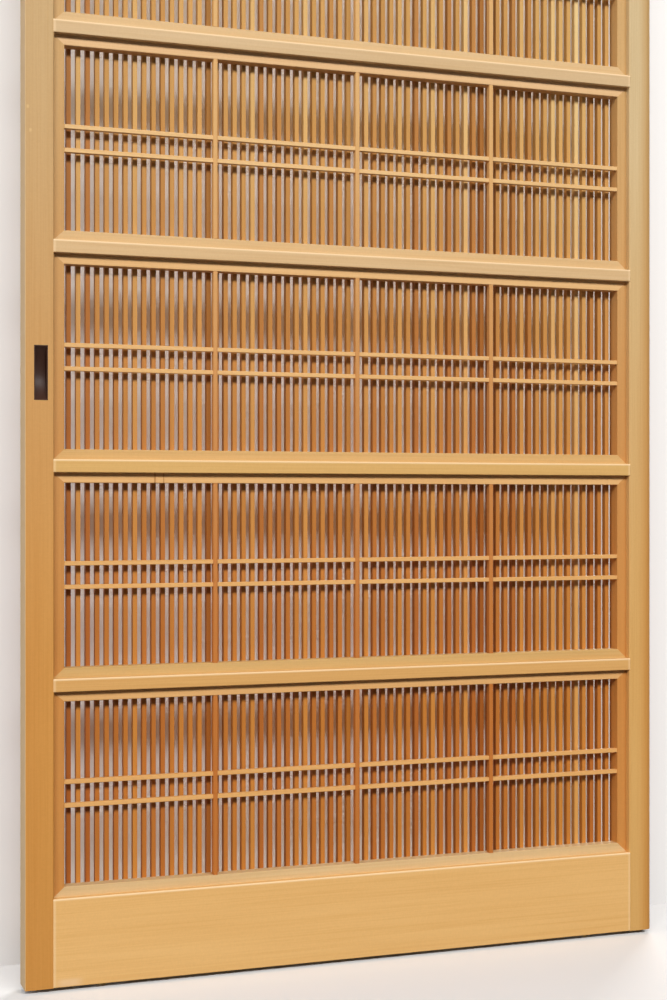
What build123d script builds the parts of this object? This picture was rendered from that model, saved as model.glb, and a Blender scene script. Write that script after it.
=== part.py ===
from build123d import *
import os

# Slatted lattice sliding screen, in millimetres.
# X runs to the right, Y from front to back and Z up. The origin is on the sill, midway
# between the stiles and midway through the thickness. The front faces -Y.

# Whole screen
screen_w = 873.0
screen_h = 1757.0
thickness = 36.0
panels = 6

# Stiles
stile_w = 36.0
stile_arris = 1.6
outer_arris = 0.8
outer_round_r = 10.0

# Rails
bottom_rail_h = 109.0
top_rail_h = 43.4
mid_rail_h = 16.4
mid_rail_t = 26.0
rail_round_r = 1.2

# Tenons and the tongue along the head
tenon_len = 18.0
frame_tenon_t = 12.0
bottom_tenon_h = 30.0
bottom_tenon_inset = 14.0
top_tenon_h = 16.0
mid_tenon_t = 9.0
mid_tenon_h = 10.4
tongue_h = 15.0
tongue_t = 18.0

# Inner frames, with the bars and muntins inside them
strip_recess = 9.0
side_strip_w = 14.0
cross_strip_h = 12.6
strip_arris = 0.6
muntins = 3
muntin_w = 5.6
muntin_t = 8.3
bar_h = 5.4
bar_recess = 1.2
bar_spacing = 29.2
bar_arris = 0.4
stub_len = 4.0
stub_recess = 2.0

# Slats
slats_by_bay = (17, 16, 16, 17)
bay_shifts = (1.1, -0.3, 0.5, 0.2)
slat_w = 5.5
slat_t = 8.7
slat_lap = 30.0

# Flush pull in the left stile
pull_w = 17.0
pull_h = 67.5
pull_t = 16.0
pull_rim = 1.2
pull_scoop = 13.0
pull_inset = 7.9
pull_height = 755.0

# Door wheels under the bottom rail
wheel_r = 13.0
wheel_w = 6.6
wheel_out = 5.5
wheel_inset = 62.0
wheel_room = 1.6
cheek_gap = 0.4
bore_clearance = 0.05
axle_r = 2.0
axle_seat_clearance = 0.02
steel_t = 1.4
flange_len = 17.0
flange_w = 15.0
screw_r = 1.5
screw_len = 16.0
screw_head_r = 3.2
screw_clearance = 0.05

# Places worked out from the sizes above
front = -thickness / 2
back = thickness / 2
foot = wheel_out
head = foot + screen_h
inner_x = screen_w / 2 - stile_w
opening_x = inner_x - side_strip_w
lattice_front = front + strip_recess
lattice_back = lattice_front + muntin_t
lap_y = lattice_front + muntin_t / 2
slat_front = front + mid_rail_t
field_bottom = foot + bottom_rail_h
field_top = head - top_rail_h
pitch = (field_top - field_bottom + mid_rail_h) / panels
panel_h = pitch - mid_rail_h
bay_w = 2 * opening_x / (muntins + 1)
slats = sum(slats_by_bay)
slat_gap = (2 * inner_x - slats * slat_w) / (slats + 1)


def block(x0, x1, y0, y1, z0, z1):
    """A block between two opposite corners."""
    middle = ((x0 + x1) / 2, (y0 + y1) / 2, (z0 + z1) / 2)
    return Pos(*middle) * Box(x1 - x0, y1 - y0, z1 - z0)


def broken_edges(bar, direction, arris):
    """A bar with the two long edges of its front broken by an arris."""
    return chamfer(bar.edges().filter_by(direction).group_by(Axis.Y)[0], arris)


def panel_bottom(number):
    """Height of the foot of panel 1, 2 and so on, counted from the bottom."""
    return field_bottom + (number - 1) * pitch


def rail_bottom(number):
    """Height of the underside of the mid rail above a panel."""
    return panel_bottom(number) + panel_h


# Tenons: each one is added to its rail and cut out of its stile, so the two always fit.
# Side -1 is the left stile and side 1 the right one.
def tenon(side, middle_y, tenon_t, z, tenon_h):
    x0, x1 = sorted((side * inner_x, side * (inner_x + tenon_len)))
    return block(x0, x1, middle_y - tenon_t / 2, middle_y + tenon_t / 2, z, z + tenon_h)


def bottom_rail_tenons(side):
    low = foot + bottom_tenon_inset
    high = field_bottom - bottom_tenon_inset - bottom_tenon_h
    return [tenon(side, 0, frame_tenon_t, z, bottom_tenon_h) for z in (low, high)]


def top_rail_tenons(side):
    z = (field_top + head - tongue_h - top_tenon_h) / 2
    return [tenon(side, 0, frame_tenon_t, z, top_tenon_h)]


def mid_rail_tenons(side, number):
    z = rail_bottom(number) + (mid_rail_h - mid_tenon_h) / 2
    return [tenon(side, front + mid_rail_t / 2, mid_tenon_t, z, mid_tenon_h)]


def all_tenons(side):
    tenons = bottom_rail_tenons(side) + top_rail_tenons(side)
    for number in range(1, panels):
        tenons += mid_rail_tenons(side, number)
    return tenons


def head_rebates():
    """The wood taken off in front of and behind the tongue, across the whole head."""
    x = screen_w / 2
    z = head - tongue_h
    return [
        block(-x, x, front, -tongue_t / 2, z, head),
        block(-x, x, tongue_t / 2, back, z, head),
    ]


# Flush pull: a block let into the left stile and hollowed by a round cutter, so that the
# hollow is deep in the middle and runs out to nothing at both ends.
pull_x = -inner_x - pull_inset - pull_w / 2
pull_z = foot + pull_height


def pull_block():
    return block(
        pull_x - pull_w / 2, pull_x + pull_w / 2,
        front, front + pull_t,
        pull_z - pull_h / 2, pull_z + pull_h / 2,
    )


def flush_pull():
    half_chord = pull_h / 2 - pull_rim
    cutter_r = (half_chord ** 2 + pull_scoop ** 2) / (2 * pull_scoop)
    cutter = Rot(0, 90, 0) * Cylinder(cutter_r, pull_w - 2 * pull_rim)
    return pull_block() - Pos(pull_x, front + pull_scoop - cutter_r, pull_z) * cutter


# Stiles: full height. The inner edges have an arris, and the rails are scribed over it at
# the front. The outer edges are nearly square on the left stile, rounded on the right one.
def stile_plan(side):
    """Section of a stile seen from above, with only its inner edges broken."""
    plan = Pos(side * (inner_x + stile_w / 2), 0) * Rectangle(stile_w, thickness)
    inner_corners = plan.vertices().group_by(Axis.X)[0 if side > 0 else -1]
    return chamfer(inner_corners, stile_arris)


def stile(side, plan):
    return extrude(Pos(0, 0, foot) * plan, screen_h) - all_tenons(side) - head_rebates()


def left_stile():
    plan = stile_plan(-1)
    plan = chamfer(plan.vertices().group_by(Axis.X)[0], outer_arris)
    return stile(-1, plan) - pull_block()


def right_stile():
    plan = stile_plan(1)
    plan = fillet(plan.vertices().group_by(Axis.X)[-1], outer_round_r)
    return stile(1, plan)


stile_blanks = [extrude(Pos(0, 0, foot) * stile_plan(side), screen_h) for side in (-1, 1)]


# Slats: full height behind the mid rails and the inner frames. Each end is let into its
# own housing, which is open at the back of the top or bottom rail. They divide the width
# between the stiles evenly, so the first and the last one hide behind the side strips.
# They were spaced by hand: bay_shifts says how far those of each bay sit to the right.
def bay_slats(bay, slat_back):
    first = sum(slats_by_bay[:bay])
    blocks = []
    for number in range(first, first + slats_by_bay[bay]):
        x = number * (slat_w + slat_gap) + slat_gap - inner_x + bay_shifts[bay]
        z0 = field_bottom - slat_lap
        z1 = field_top + slat_lap
        blocks.append(block(x, x + slat_w, slat_front, slat_back, z0, z1))
    return blocks


bays = range(len(slats_by_bay))
slat_housings = [housing for bay in bays for housing in bay_slats(bay, back)]


# Rails: the front edges are rounded all round, and the ends lap the arris of the stiles
def rail_blank(rail_back, z0, z1):
    x = inner_x + stile_arris
    blank = block(-x, x, front, rail_back, z0, z1)
    blank = fillet(blank.faces().sort_by(Axis.Y)[0].edges(), rail_round_r)
    return blank - stile_blanks


def mid_rail(number):
    z = rail_bottom(number)
    rail = rail_blank(slat_front, z, z + mid_rail_h)
    return rail + mid_rail_tenons(-1, number) + mid_rail_tenons(1, number)


def top_rail():
    rail = rail_blank(back, field_top, head) + top_rail_tenons(-1) + top_rail_tenons(1)
    return rail - head_rebates() - slat_housings


def bottom_rail():
    rail = rail_blank(back, foot, field_bottom)
    for side in (-1, 1):
        rail = rail + bottom_rail_tenons(side)
        rail = rail - wheel_pocket(side) - wheel_screws(side, screw_clearance)
    return rail - slat_housings


# Bars and muntins: half-lapped where they cross, the muntin in front and its face flush
# with the inner frame. They end in stubs, in blind mortises in the inner frame.
def muntin_blank(number, column):
    x0 = (column + 1) * bay_w - opening_x - muntin_w / 2
    x1 = x0 + muntin_w
    z0 = panel_bottom(number) + cross_strip_h
    z1 = rail_bottom(number) - cross_strip_h
    face = block(x0, x1, lattice_front, lattice_back, z0, z1)
    stub_front = lattice_front + stub_recess
    return face + block(x0, x1, stub_front, lattice_back, z0 - stub_len, z1 + stub_len)


def bar_blank(number, row):
    x = opening_x + stub_len
    z = panel_bottom(number) + panel_h / 2 + (row - 0.5) * bar_spacing
    bar_front = lattice_front + bar_recess
    return block(-x, x, bar_front, lattice_back, z - bar_h / 2, z + bar_h / 2)


def panel_muntins(number):
    return [muntin_blank(number, column) for column in range(muntins)]


def panel_bars(number):
    return [bar_blank(number, row) for row in range(2)]


def layer(number, y0, y1):
    """All that lies between two depths in one panel."""
    return block(-inner_x, inner_x, y0, y1, panel_bottom(number), rail_bottom(number))


def muntin(number, column):
    blank = broken_edges(muntin_blank(number, column), Axis.Z, bar_arris)
    back_layer = layer(number, lap_y, lattice_back)
    return blank - [bar & back_layer for bar in panel_bars(number)]


def cross_bar(number, row):
    blank = broken_edges(bar_blank(number, row), Axis.X, bar_arris)
    front_layer = layer(number, lattice_front, lap_y)
    return blank - [upright & front_layer for upright in panel_muntins(number)]


# Inner frames: four flat strips to a panel, mitred at the corners
strip_names = ("bottom_strip", "right_strip", "top_strip", "left_strip")


def corners(x, z0, z1):
    return [(-x, z0), (x, z0), (x, z1), (-x, z1)]


def frame_strip(number, place):
    z0 = panel_bottom(number)
    z1 = rail_bottom(number)
    outer = corners(inner_x, z0, z1)
    inner = corners(opening_x, z0 + cross_strip_h, z1 - cross_strip_h)
    after = (place + 1) % len(strip_names)
    outline = Polygon(outer[place], outer[after], inner[after], inner[place], align=None)
    strip = extrude(Plane.XZ.offset(-slat_front) * outline, mid_rail_t - strip_recess)
    inner_edge = strip.edges().group_by(Axis.Y)[0].sort_by(SortBy.LENGTH)[-2]
    strip = chamfer(inner_edge, strip_arris)
    return strip - panel_muntins(number) - panel_bars(number)


# Door wheels: a folded steel housing let in flush with the underside of the rail, with a
# flat-rimmed wheel on an axle that is pressed into its cheeks and dressed flush.
cage_x = wheel_r + wheel_room
cage_y = wheel_w / 2 + cheek_gap
cheek_y = cage_y + steel_t
cage_top = 2 * wheel_r + wheel_room
flange_x = cage_x + steel_t + flange_len


def wheel_x(side):
    return side * (inner_x - wheel_inset)


def flange(side):
    x = wheel_x(side)
    return block(x - flange_x, x + flange_x, -flange_w / 2, flange_w / 2, foot, foot + steel_t)


def cage(side):
    x = wheel_x(side)
    half_x = cage_x + steel_t
    return block(x - half_x, x + half_x, -cheek_y, cheek_y, foot, cage_top + steel_t)


def wheel_pocket(side):
    """The room cut in the rail for a housing."""
    return [flange(side), cage(side)]


def axle(side, clearance=0):
    pin = Rot(90, 0, 0) * Cylinder(axle_r + clearance, 2 * cheek_y)
    return Pos(wheel_x(side), 0, wheel_r) * pin


def wheel_housing(side):
    x = wheel_x(side)
    room = block(x - cage_x, x + cage_x, -cage_y, cage_y, foot, cage_top)
    housing = flange(side) + cage(side) - room
    return housing - axle(side, axle_seat_clearance) - wheel_screws(side, screw_clearance)


def wheel(side):
    disc = Cylinder(wheel_r, wheel_w) - Cylinder(axle_r + bore_clearance, wheel_w)
    return Pos(wheel_x(side), 0, wheel_r) * Rot(90, 0, 0) * disc


def wheel_screws(side, clearance):
    """The two screws of a housing, or with a clearance the holes that they sit in.

    Each head is countersunk through the whole thickness of the housing's flange.
    """
    r = screw_r + clearance
    outline = Polygon(
        (0, 0), (screw_head_r + clearance, 0), (r, steel_t),
        (r, screw_len + clearance), (0, screw_len + clearance),
        align=None,
    )
    screw = revolve(Plane.XZ * outline, Axis.Z)
    offset = flange_x - flange_len / 2
    return [Pos(wheel_x(side) + end * offset, 0, foot) * screw for end in (-1, 1)]


# Every piece by name; like pieces that share a name are separate solids
nodes = {
    "left_stile": left_stile(),
    "right_stile": right_stile(),
    "bottom_rail": bottom_rail(),
    "top_rail": top_rail(),
    "flush_pull": flush_pull(),
    "wheel_screws": wheel_screws(-1, 0) + wheel_screws(1, 0),
}
for number in range(1, panels):
    nodes[f"mid_rail_{number}"] = mid_rail(number)
for number in range(1, panels + 1):
    nodes[f"lower_bar_{number}"] = cross_bar(number, 0)
    nodes[f"upper_bar_{number}"] = cross_bar(number, 1)
    for place, name in enumerate(strip_names):
        nodes[f"{name}_{number}"] = frame_strip(number, place)
for column in range(muntins):
    nodes[f"muntins_{column + 1}"] = [muntin(number, column) for number in range(1, panels + 1)]
for bay in bays:
    nodes[f"slats_bay_{bay + 1}"] = bay_slats(bay, slat_front + slat_t)
for side, hand in ((-1, "left"), (1, "right")):
    nodes[f"{hand}_wheel_housing"] = wheel_housing(side)
    nodes[f"{hand}_wheel_axle"] = axle(side)
    nodes[f"{hand}_wheel"] = wheel(side)

os.makedirs("parts", exist_ok=True)
for name, shape in nodes.items():
    if isinstance(shape, list):
        shape = Compound(children=shape)
    export_step(shape, f"parts/{name}.step")
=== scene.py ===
import math

import bpy
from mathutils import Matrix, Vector


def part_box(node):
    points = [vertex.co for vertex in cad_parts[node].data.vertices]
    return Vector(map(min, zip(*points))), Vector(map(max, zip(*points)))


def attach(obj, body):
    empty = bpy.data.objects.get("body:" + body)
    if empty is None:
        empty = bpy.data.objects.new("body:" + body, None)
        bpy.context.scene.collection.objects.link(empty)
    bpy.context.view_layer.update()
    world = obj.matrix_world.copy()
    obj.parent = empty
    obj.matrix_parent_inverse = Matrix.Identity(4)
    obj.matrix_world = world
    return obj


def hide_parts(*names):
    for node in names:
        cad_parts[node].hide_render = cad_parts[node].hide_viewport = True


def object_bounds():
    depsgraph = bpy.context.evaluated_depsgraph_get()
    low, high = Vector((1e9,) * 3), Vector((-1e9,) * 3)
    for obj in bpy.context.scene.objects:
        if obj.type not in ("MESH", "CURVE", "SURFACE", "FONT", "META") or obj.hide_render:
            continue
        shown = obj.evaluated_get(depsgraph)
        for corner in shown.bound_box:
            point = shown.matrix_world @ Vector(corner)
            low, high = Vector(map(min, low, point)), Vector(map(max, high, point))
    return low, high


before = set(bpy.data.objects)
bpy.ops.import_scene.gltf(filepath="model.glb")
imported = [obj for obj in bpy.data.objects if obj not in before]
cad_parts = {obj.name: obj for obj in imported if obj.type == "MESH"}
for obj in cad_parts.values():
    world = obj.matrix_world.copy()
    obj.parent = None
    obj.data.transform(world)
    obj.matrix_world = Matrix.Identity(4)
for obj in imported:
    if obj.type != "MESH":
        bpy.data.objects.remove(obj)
cad_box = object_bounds()


# Stiles: two full-height uprights of straight-grained softwood, planed and lightly oiled,
# into which the rails are tenoned. Their colour is darker and warmer towards the foot:
# painted light, the warm bounce of a wooden floor low down and cooler light higher up.
# The left one has two small pale nicks.
def linear(red, green, blue):
    """A colour seen on the wood, written 0 to 255, as the shader wants it."""
    def channel(value):
        value /= 255
        return value / 12.92 if value <= 0.04045 else ((value + 0.055) / 1.055) ** 2.4
    return (channel(red), channel(green), channel(blue), 1)


def grey(value):
    """A grey from 0, black, to 1, white."""
    return (value, value, value, 1)


def add_node(tree, kind, **settings):
    """A shader node; a setting named after a socket fills it, any other sets a property."""
    node = tree.nodes.new(kind)
    for name, value in settings.items():
        if name in node.inputs:
            node.inputs[name].default_value = value
        else:
            setattr(node, name, value)
    return node


def ramp(tree, factor, *stops):
    """A colour ramp with its stops as (place, colour)."""
    node = tree.nodes.new("ShaderNodeValToRGB")
    elements = node.color_ramp.elements
    while len(elements) < len(stops):
        elements.new(0.5)
    for element, (place, colour) in zip(elements, stops):
        element.position = place
        element.color = colour
    tree.links.new(factor, node.inputs["Fac"])
    return node.outputs["Color"]


def blend_colours(tree, how, factor, lower, upper):
    """Two colours blended; the factor and each colour is a value or a socket."""
    node = tree.nodes.new("ShaderNodeMix")
    node.data_type = "RGBA"
    node.blend_type = how
    for value, name in ((factor, "Factor_Float"), (lower, "A_Color"), (upper, "B_Color")):
        socket = next(s for s in node.inputs if s.identifier == name)
        if isinstance(value, bpy.types.NodeSocket):
            tree.links.new(value, socket)
        else:
            socket.default_value = value
    return next(s for s in node.outputs if s.identifier == "Result_Color")


def between(tree, value, start, end):
    """Rises softly from 0 to 1 as value goes from start to end."""
    node = add_node(tree, "ShaderNodeMapRange", interpolation_type="SMOOTHSTEP")
    tree.links.new(value, node.inputs["Value"])
    node.inputs["From Min"].default_value = start
    node.inputs["From Max"].default_value = end
    return node.outputs["Result"]


def both(tree, one, other):
    """The product of two factors."""
    node = add_node(tree, "ShaderNodeMath", operation="MULTIPLY")
    tree.links.new(one, node.inputs[0])
    tree.links.new(other, node.inputs[1])
    return node.outputs[0]


def grain(tree, place, along, spacing, stretch, **settings):
    """Noise drawn out along the grain; spacing is its size across the grain, in metres."""
    across = 1 / spacing
    into_board = across * 0.35
    scale = {
        "X": (across / stretch, into_board, across),
        "Z": (across, into_board, across / stretch),
    }[along]
    mapping = add_node(tree, "ShaderNodeMapping", Scale=scale)
    tree.links.new(place, mapping.inputs["Vector"])
    noise = add_node(tree, "ShaderNodeTexNoise", Scale=1.0, **settings)
    tree.links.new(mapping.outputs["Vector"], noise.inputs["Vector"])
    return noise.outputs["Fac"]


# Between these heights every wood blends from its foot colour to its head colour: painted light,
# darker and warmer low down, paler and cooler higher up.
darkest_below = 0.3
palest_above = 1.35
late_wood = (0.88, 0.79, 0.65, 1)
red_band = (0.965, 0.945, 0.91, 1)
red_cloud = (0.97, 0.95, 0.91, 1)
polished_by = 0.06
roughened_by = 0.10


def wood(name, along, foot, head, board, each=None, marks_and_light=None, roughness=0.5):
    """Planed softwood with its grain along X or Z.

    foot and head are its colours low and high on the screen; the blend between them is painted
    light, darker and warmer towards the floor. board is the number of the board that the piece
    is sawn from, and moves the pattern, so that no two pieces look alike. each, if given, picks
    every solid's own colour from the stops in foot and head. marks_and_light, if given, changes
    the colour in places, with real marks and with painted light and shade.
    """
    material = bpy.data.materials.new(name)
    material.use_nodes = True
    tree = material.node_tree
    surface = tree.nodes["Principled BSDF"]
    here = add_node(tree, "ShaderNodeTexCoord").outputs["Object"]
    split = add_node(tree, "ShaderNodeSeparateXYZ")
    tree.links.new(here, split.inputs["Vector"])
    moved = add_node(tree, "ShaderNodeMapping", Location=(board * 0.37, board * 0.11, board * 0.23))
    tree.links.new(here, moved.inputs["Vector"])
    place = moved.outputs["Vector"]
    if each:
        chance, place = each(tree, split, place)
        foot = ramp(tree, chance, *foot)
        head = ramp(tree, chance, *head)
    # Painted light: the colour darkens and warms from head to foot.
    height = between(tree, split.outputs["Z"], darkest_below, palest_above)
    colour = blend_colours(tree, "MIX", height, foot, head)

    rings = grain(tree, place, along, spacing=0.0019, stretch=90, Detail=2.5, Roughness=0.6)
    bands = grain(tree, place, along, spacing=0.012, stretch=40, Detail=2.0, Roughness=0.5)
    clouds = grain(tree, place, along, spacing=0.07, stretch=5, Detail=2.0, Roughness=0.5)
    fibres = grain(tree, place, along, spacing=0.00035, stretch=50, Detail=2.0, Roughness=0.7)
    flecks = grain(tree, place, along, spacing=0.004, stretch=0.5, Detail=3.0, Roughness=0.6)

    late = blend_colours(tree, "MULTIPLY", 1.0, colour, late_wood)
    line = ramp(tree, rings, (0.42, grey(0)), (0.75, grey(0.5)))
    colour = blend_colours(tree, "MIX", line, colour, late)
    for tint in (
        ramp(tree, bands, (0.3, red_band), (0.7, grey(1))),
        ramp(tree, clouds, (0.3, red_cloud), (0.7, grey(1))),
        ramp(tree, fibres, (0.3, grey(0.94)), (0.7, grey(1))),
        ramp(tree, flecks, (0.35, grey(0.965)), (0.65, grey(1))),
    ):
        colour = blend_colours(tree, "MULTIPLY", 1.0, colour, tint)
    # Real marks, and painted highlight, light and shade, where a piece has them.
    if marks_and_light:
        colour = marks_and_light(tree, split, colour)
    tree.links.new(colour, surface.inputs["Base Color"])

    sheen = add_node(tree, "ShaderNodeMapRange")
    tree.links.new(fibres, sheen.inputs["Value"])
    sheen.inputs["To Min"].default_value = roughness - polished_by
    sheen.inputs["To Max"].default_value = roughness + roughened_by
    tree.links.new(sheen.outputs["Result"], surface.inputs["Roughness"])
    surface.inputs["Specular IOR Level"].default_value = 0.2

    coarse = add_node(tree, "ShaderNodeBump", Strength=0.15, Distance=0.0003)
    tree.links.new(rings, coarse.inputs["Height"])
    fine = add_node(tree, "ShaderNodeBump", Strength=0.2, Distance=0.0001)
    tree.links.new(fibres, fine.inputs["Height"])
    tree.links.new(coarse.outputs["Normal"], fine.inputs["Normal"])
    tree.links.new(fine.outputs["Normal"], surface.inputs["Normal"])
    return material


def dress(name, material):
    """Gives a CAD node its material."""
    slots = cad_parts[name].data.materials
    slots.clear()
    slots.append(material)


def spot(tree, split, colour, place, reach, tone):
    """A soft patch of another tone; place and reach are its middle and half size in X and Z."""
    inside = None
    for axis, centre, half in zip("XZ", place, reach):
        for side in (-half, half):
            edge = between(tree, split.outputs[axis], centre + side, centre + side / 4)
            inside = both(tree, inside, edge) if inside else edge
    return blend_colours(tree, "MIX", inside, colour, tone)


outer_left = cad_box[0].x
# The paler, greyer colour painted on the left stile's outer side as light from the wall.
wall_light_grey = linear(196, 164, 120)
nick_places = ((-0.4330, 1.0850), (-0.4298, 1.0563))
nick_reach = (0.0022, 0.0032)
nick_tone = linear(203, 167, 116)


def wall_light_and_nicks(tree, split, colour):
    """The outer side is painted paler and greyer: painted light, the grey light from the wall
    beside it.

    The two pale nicks lie close to it, more than a metre up.
    """
    side = between(tree, split.outputs["X"], outer_left + 0.0012, outer_left + 0.0004)
    colour = blend_colours(tree, "MIX", side, colour, wall_light_grey)
    for place in nick_places:
        colour = spot(tree, split, colour, place, nick_reach, nick_tone)
    return colour


outer_right = cad_box[1].x
# The width and tint of the painted shade along the right stile's round outer edge.
shade_width = 0.024
rounding = 0.006
painted_shade_tint = (0.85, 0.70, 0.50, 1)


def shaded_round_edge(tree, split, colour):
    """Painted shade: the right stile turns darker and redder towards its round outer edge, as a
    larger rounding than the modelled one falls into shade.
    """
    side = between(tree, split.outputs["X"], outer_right - shade_width, outer_right - rounding)
    redder = blend_colours(tree, "MULTIPLY", 1.0, colour, painted_shade_tint)
    return blend_colours(tree, "MIX", side, colour, redder)


# The right stile is written paler and yellower than the left: painted light, more light falling on
# it.
left_foot = linear(203, 143, 71)
left_head = linear(194, 162, 115)
right_foot = linear(213, 165, 98)
right_head = linear(206, 182, 140)

dress("left_stile", wood("left_stile", "Z", left_foot, left_head, 0, marks_and_light=wall_light_and_nicks))
dress("right_stile", wood("right_stile", "Z", right_foot, right_head, 1, marks_and_light=shaded_round_edge))


# Rails: five narrow mid rails, a deep bottom rail and the top rail, of the same wood with
# the grain lying across. Their rounded upper front edges and their ends carry a painted
# highlight, paler, and the bottom rail has a pale scuff low on the left.
# Each rail has its own colour, for the most part bluer and paler the higher it lies: painted light,
# the light cooler higher up the screen.
rails = {
    "bottom_rail": linear(230, 182, 116),
    "mid_rail_1": linear(214, 164, 99),
    "mid_rail_2": linear(215, 172, 106),
    "mid_rail_3": linear(213, 179, 134),
    "mid_rail_4": linear(207, 176, 134),
    "mid_rail_5": linear(212, 184, 146),
    "top_rail": linear(210, 184, 146),
}
# The painted highlight on the rails' upper front edges and ends, its width, and how strongly it
# shows along the top and at the ends.
painted_highlight = linear(240, 210, 166)
edge_width = 0.0030
top_highlight = 0.7
end_highlight = 0.3
inner_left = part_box("left_stile")[1].x
inner_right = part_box("right_stile")[0].x
scuff_place = (-0.382, 0.011)
scuff_reach = (0.022, 0.007)
scuff_tone = linear(226, 184, 133)


def edge_highlights_and_scuff(name):
    """Painted highlight on one rail: paler along its upper front edge, and less so at its ends; the
    bottom rail also gets its pale scuff.
    """
    low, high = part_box(name)

    def marks_and_light(tree, split, colour):
        x, y, z = (split.outputs[axis] for axis in "XYZ")
        front = between(tree, y, low.y + edge_width, low.y + 0.0010)
        top = between(tree, z, high.z - edge_width, high.z - 0.0012)
        left = between(tree, x, inner_left + edge_width, inner_left + 0.0008)
        right = between(tree, x, inner_right - edge_width, inner_right - 0.0008)
        # Painted highlight along the upper front edge, weaker at the ends.
        for edge, amount in ((top, top_highlight), (left, end_highlight), (right, end_highlight)):
            paler = blend_colours(tree, "MIX", amount, colour, painted_highlight)
            colour = blend_colours(tree, "MIX", both(tree, front, edge), colour, paler)
        if name == "bottom_rail":
            colour = spot(tree, split, colour, scuff_place, scuff_reach, scuff_tone)
        return colour

    return marks_and_light


for board, (name, colour) in enumerate(rails.items(), start=3):
    dress(name, wood(name, "X", colour, colour, board, marks_and_light=edge_highlights_and_scuff(name)))


# Inner frames: four flat strips round every panel, mitred at the corners and set 9 mm
# behind the face of the stiles and rails. One top strip has two brown streaks.
# The top strips are written paler than the bottom strips: painted light, offsetting the rail's
# shadow that falls on them. Both grow paler and bluer higher up: painted light, as on the rails.
bottom_strips = (
    linear(212, 180, 132), linear(206, 168, 109), linear(210, 170, 112),
    linear(212, 178, 130), linear(212, 180, 134), linear(212, 180, 134),
)
top_strips = (
    linear(222, 172, 112), linear(226, 178, 118), linear(224, 180, 124),
    linear(222, 182, 134), linear(222, 184, 138), linear(222, 184, 138),
)
upright_foot = linear(200, 137, 70)
upright_head = linear(200, 162, 108)
streaks = ((-0.2722, 0.0020), (-0.2610, 0.0012))
streak_height = 0.62
streak_reach = 0.04
streak_brown = linear(182, 130, 76)


def two_streaks(tree, split, colour):
    """Two short brown streaks across the top strip under the second mid rail."""
    for x, half_width in streaks:
        place = (x, streak_height)
        colour = spot(tree, split, colour, place, (half_width, streak_reach), streak_brown)
    return colour


for number in range(1, 7):
    board = 11 + 4 * number
    for nth, (side, tones) in enumerate((("bottom", bottom_strips), ("top", top_strips))):
        name = f"{side}_strip_{number}"
        tone = tones[number - 1]
        marks = two_streaks if name == "top_strip_2" else None
        dress(name, wood(name, "X", tone, tone, board + nth, marks_and_light=marks))
    for nth, side in enumerate(("left", "right")):
        name = f"{side}_strip_{number}"
        dress(name, wood(name, "Z", upright_foot, upright_head, board + 2 + nth))


# Cross bars: two thin bars to a panel, of the paler wood. They cross behind the muntins,
# half-lapped into them, and end in stub tenons in the side strips.
bar_foot = linear(224, 170, 105)
bar_head = linear(226, 188, 134)

for number in range(1, 7):
    for nth, row in enumerate(("lower", "upper")):
        name = f"{row}_bar_{number}"
        dress(name, wood(name, "X", bar_foot, bar_head, 41 + 2 * number + nth))


# Muntins: three thin uprights to a panel, half-lapped over the bars and flush with the
# inner frame. They are painted redder and darker low on the screen: painted light, as on the
# stiles.
muntin_foot = linear(188, 114, 50)
muntin_head = linear(216, 172, 112)

for column in range(1, 4):
    name = f"muntins_{column}"
    dress(name, wood(name, "Z", muntin_foot, muntin_head, 53 + column))


# Slats: sixty-six thin uprights behind the grid, let into the top and bottom rails. Each
# is sawn from its own board, so every one has its own tone, from straw to red-brown.
slats_by_bay = (17, 16, 16, 17)
slat_width = 0.0055
slat_foot = (
    (0.00, linear(168, 94, 34)),
    (0.30, linear(182, 110, 42)),
    (0.75, linear(194, 125, 50)),
    (0.93, linear(199, 132, 58)),
    (1.00, linear(216, 160, 88)),
)
slat_head = (
    (0.00, linear(174, 116, 54)),
    (0.25, linear(192, 144, 78)),
    (0.60, linear(202, 156, 90)),
    (0.90, linear(212, 172, 108)),
    (1.00, linear(228, 198, 140)),
)


def each_slat(bay):
    """Every slat's own chance, and its own part of the pattern."""
    low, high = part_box(f"slats_bay_{bay}")
    spacing = (high.x - low.x - slat_width) / (slats_by_bay[bay - 1] - 1)
    start = low.x - (spacing - slat_width) / 2

    def each(tree, split, place):
        count = add_node(tree, "ShaderNodeMapRange", clamp=False)
        tree.links.new(split.outputs["X"], count.inputs["Value"])
        count.inputs["From Min"].default_value = start
        count.inputs["From Max"].default_value = start + spacing
        number = add_node(tree, "ShaderNodeMath", operation="FLOOR")
        tree.links.new(count.outputs["Result"], number.inputs[0])
        apart = add_node(tree, "ShaderNodeMath", operation="ADD")
        tree.links.new(number.outputs[0], apart.inputs[0])
        apart.inputs[1].default_value = sum(slats_by_bay[:bay])
        chance = add_node(tree, "ShaderNodeTexWhiteNoise", noise_dimensions="1D")
        tree.links.new(apart.outputs[0], chance.inputs["W"])
        moved = add_node(tree, "ShaderNodeVectorMath", operation="ADD")
        tree.links.new(place, moved.inputs[0])
        tree.links.new(chance.outputs["Color"], moved.inputs[1])
        return chance.outputs["Value"], moved.outputs["Vector"]

    return each


for bay in range(1, 5):
    name = f"slats_bay_{bay}"
    sawn = wood(name, "Z", slat_foot, slat_head, 60 + bay, each=each_slat(bay), roughness=0.55)
    dress(name, sawn)


# Flush pull: a block of dark hardwood let into the left stile at hand height, with a
# hollow scooped out for the fingers, which have polished it.
pull_brown = linear(57, 32, 21)

dress("flush_pull", wood("flush_pull", "Z", pull_brown, pull_brown, 70, roughness=0.40))


# Door wheels: two flat-rimmed brass wheels, turning on steel axles in folded
# steel housings that are screwed up into the underside of the bottom rail.
steel_clean = linear(186, 188, 190)
steel_dull = linear(150, 150, 150)
brass_clean = linear(214, 180, 108)
brass_dull = linear(170, 134, 74)


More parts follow.
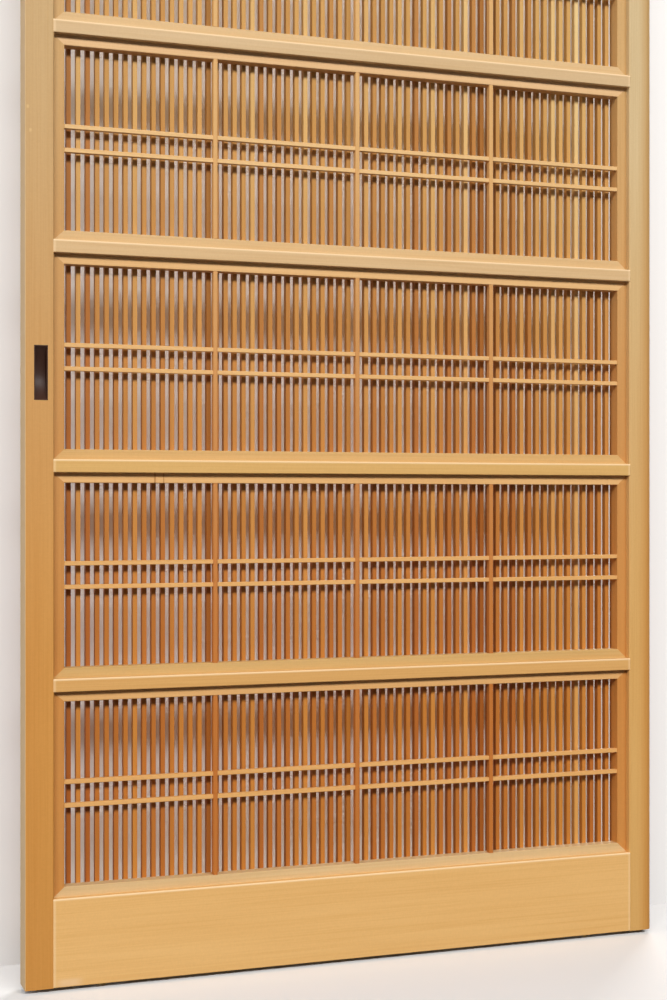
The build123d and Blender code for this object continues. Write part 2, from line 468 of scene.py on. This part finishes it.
def metal(name, clean, dull, roughness):
    """Bare metal with a duller bloom and fine scratches all over."""
    material = bpy.data.materials.new(name)
    material.use_nodes = True
    tree = material.node_tree
    surface = tree.nodes["Principled BSDF"]
    surface.inputs["Metallic"].default_value = 1.0
    here = add_node(tree, "ShaderNodeTexCoord").outputs["Object"]
    bloom = add_node(tree, "ShaderNodeTexNoise", Scale=160.0, Detail=4.0, Roughness=0.6)
    tree.links.new(here, bloom.inputs["Vector"])
    stain = ramp(tree, bloom.outputs["Fac"], (0.35, clean), (0.7, dull))
    tree.links.new(stain, surface.inputs["Base Color"])
    scratches = add_node(tree, "ShaderNodeTexNoise", Scale=1400.0, Detail=3.0, Roughness=0.7)
    tree.links.new(here, scratches.inputs["Vector"])
    gloss = add_node(tree, "ShaderNodeMapRange")
    tree.links.new(scratches.outputs["Fac"], gloss.inputs["Value"])
    gloss.inputs["To Min"].default_value = roughness - 0.08
    gloss.inputs["To Max"].default_value = roughness + 0.12
    tree.links.new(gloss.outputs["Result"], surface.inputs["Roughness"])
    bump = add_node(tree, "ShaderNodeBump", Strength=0.15, Distance=0.00005)
    tree.links.new(scratches.outputs["Fac"], bump.inputs["Height"])
    tree.links.new(bump.outputs["Normal"], surface.inputs["Normal"])
    return material


steel = metal("wheel_steel", steel_clean, steel_dull, 0.36)
brass = metal("wheel_brass", brass_clean, brass_dull, 0.30)

for side in ("left", "right"):
    dress(f"{side}_wheel_housing", steel)
    dress(f"{side}_wheel_axle", steel)
    dress(f"{side}_wheel", brass)


# Wheel screws: four countersunk steel screws, two to a housing, each with a cross cut in
# its head for the driver. They hold the flanges up in the underside of the bottom rail.
head_radius = 0.0032
shank_radius = 0.0015
head_depth = 0.0014
screw_length = 0.016
screw_sides = 32
slot_length = 0.0038
slot_width = 0.0007
slot_depth = 0.0010
flange_middle = 0.0085
smooth_below = math.radians(35)


def driver_screw():
    """One screw with its head down at the origin."""
    bpy.ops.object.select_all(action="DESELECT")
    bpy.ops.mesh.primitive_cone_add(
        vertices=screw_sides, radius1=head_radius, radius2=shank_radius, depth=head_depth,
        location=(0, 0, head_depth / 2)
    )
    screw = bpy.context.object
    bpy.ops.object.mode_set(mode="EDIT")
    bpy.ops.mesh.primitive_cylinder_add(
        vertices=screw_sides, radius=shank_radius, depth=screw_length - head_depth,
        location=(0, 0, (screw_length + head_depth) / 2)
    )
    bpy.ops.object.mode_set(mode="OBJECT")
    for size in ((slot_length, slot_width), (slot_width, slot_length)):
        bpy.ops.object.select_all(action="DESELECT")
        bpy.ops.mesh.primitive_cube_add(size=1)
        cutter = bpy.context.object
        bpy.ops.object.mode_set(mode="EDIT")
        bpy.ops.transform.resize(value=(*size, 2 * slot_depth), center_override=(0, 0, 0))
        bpy.ops.object.mode_set(mode="OBJECT")
        bpy.context.view_layer.objects.active = screw
        cut = screw.modifiers.new("slot", "BOOLEAN")
        cut.object = cutter
        bpy.ops.object.modifier_apply(modifier=cut.name)
        bpy.data.objects.remove(cutter)
    return screw


first = driver_screw()
foot_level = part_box("wheel_screws")[0].z
screws = []
for side in ("left", "right"):
    low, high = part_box(f"{side}_wheel_housing")
    for x in (low.x + flange_middle, high.x - flange_middle):
        bpy.ops.object.select_all(action="DESELECT")
        first.select_set(True)
        bpy.context.view_layer.objects.active = first
        bpy.ops.object.duplicate()
        screw = bpy.context.object
        screw.location = (x, 0, foot_level)
        screws.append(screw)
bpy.data.objects.remove(first)
bpy.ops.object.select_all(action="DESELECT")
for screw in screws:
    screw.select_set(True)
bpy.context.view_layer.objects.active = screws[0]
bpy.ops.object.join()
driver_screws = bpy.context.object
bpy.ops.object.transform_apply(location=True, rotation=True, scale=True)
bpy.ops.object.shade_smooth_by_angle(angle=smooth_below)
driver_screws.name = "driver_screws"
driver_screws.data.materials.append(steel)
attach(driver_screws, "screen")
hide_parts("wheel_screws")


# Room: a plain pale floor, and a plain pale wall 10 cm behind the screen. Both are
# one-sided, so that views from behind and from below look through them.
room_width = 12
wall_y = 0.122
wall_paint = linear(250, 248, 246)
floor_paint = linear(236, 234, 232)


def paint(name, colour):
    """Matt paint on the front of a wall or floor, which is clear from its back."""
    material = bpy.data.materials.new(name)
    material.use_nodes = True
    tree = material.node_tree
    tree.nodes.remove(tree.nodes["Principled BSDF"])
    matt = add_node(tree, "ShaderNodeBsdfDiffuse", Color=colour)
    clear = add_node(tree, "ShaderNodeBsdfTransparent")
    side = add_node(tree, "ShaderNodeNewGeometry").outputs["Backfacing"]
    mix = add_node(tree, "ShaderNodeMixShader")
    tree.links.new(side, mix.inputs["Fac"])
    tree.links.new(matt.outputs[0], mix.inputs[1])
    tree.links.new(clear.outputs[0], mix.inputs[2])
    tree.links.new(mix.outputs[0], tree.nodes["Material Output"].inputs["Surface"])
    return material


bpy.ops.object.select_all(action="DESELECT")
bpy.ops.mesh.primitive_plane_add(size=room_width, location=(0, 0, 0))
floor = bpy.context.object
floor.name = "floor"
floor.data.materials.append(paint("floor_paint", floor_paint))
floor.visible_diffuse = False
bpy.ops.object.select_all(action="DESELECT")
bpy.ops.mesh.primitive_plane_add(
    size=room_width, location=(0, wall_y, room_width / 2), rotation=(math.radians(90), 0, 0)
)
wall = bpy.context.object
wall.name = "wall"
wall.data.materials.append(paint("wall_paint", wall_paint))
wall.visible_shadow = False
wall.visible_diffuse = False


# Light: a wide row of lamps in front and above, a soft lamp off to the left and one behind
# on the right, and an even room that is dimmer below than above.
middle = Vector((0, 0, cad_box[1].z / 2))


def lamp(name, location, width, height, watts):
    """A soft rectangular lamp turned to the middle of the screen."""
    panel = bpy.data.lights.new(name, "AREA")
    panel.shape = "RECTANGLE"
    panel.size = width
    panel.size_y = height
    panel.energy = watts
    light = bpy.data.objects.new(name, panel)
    light.location = location
    light.rotation_euler = (middle - Vector(location)).to_track_quat("-Z", "Y").to_euler()
    bpy.context.scene.collection.objects.link(light)


lamp("row_lamp", (-1.0, -8.0, 5.6), width=14.0, height=1.8, watts=1350)
lamp("side_lamp", (-6.0, -0.7, 1.6), width=2.5, height=2.5, watts=130)
lamp("back_lamp", (3.2, 4.2, 3.0), width=2.0, height=2.0, watts=220)

room_above = 0.14
room_below = 0.05
horizon_blur = 0.2
world = bpy.data.worlds.new("room")
bpy.context.scene.world = world
world.use_nodes = True
sky = world.node_tree
direction = add_node(sky, "ShaderNodeTexCoord").outputs["Generated"]
by_axis = add_node(sky, "ShaderNodeSeparateXYZ")
sky.links.new(direction, by_axis.inputs["Vector"])
dimmer = add_node(sky, "ShaderNodeMapRange")
sky.links.new(by_axis.outputs["Z"], dimmer.inputs["Value"])
dimmer.inputs["From Min"].default_value = -horizon_blur
dimmer.inputs["From Max"].default_value = horizon_blur
dimmer.inputs["To Min"].default_value = room_below
dimmer.inputs["To Max"].default_value = room_above
path = add_node(sky, "ShaderNodeLightPath")
seen = path.outputs["Is Camera Ray"]
for ray in ("Is Glossy Ray", "Is Transmission Ray"):
    either = add_node(sky, "ShaderNodeMath", operation="MAXIMUM")
    sky.links.new(seen, either.inputs[0])
    sky.links.new(path.outputs[ray], either.inputs[1])
    seen = either.outputs[0]
strength = add_node(sky, "ShaderNodeMapRange")
sky.links.new(seen, strength.inputs["Value"])
sky.links.new(dimmer.outputs["Result"], strength.inputs["To Min"])
strength.inputs["To Max"].default_value = 1.0
sky.links.new(strength.outputs["Result"], sky.nodes["Background"].inputs["Strength"])
sky.nodes["Background"].inputs["Color"].default_value = (1, 1, 1, 1)
bpy.context.scene.view_settings.view_transform = "Standard"


# Camera: low, 0.6 m above the floor and 2 m in front, left of the middle and turned to
# the right, as photographed.
image_height = 1000
focal_pixels = 1649
sensor = 36
lens = bpy.data.cameras.new("camera")
lens.sensor_fit = "AUTO"
lens.sensor_width = sensor
lens.lens = focal_pixels * sensor / image_height
lens.shift_y = 0.0012
camera = bpy.data.objects.new("camera", lens)
camera.location = (-0.7616, -2.0368, 0.6031)
camera.rotation_euler = (math.radians(90), 0, math.radians(-19.747))
bpy.context.scene.collection.objects.link(camera)
bpy.context.scene.camera = camera
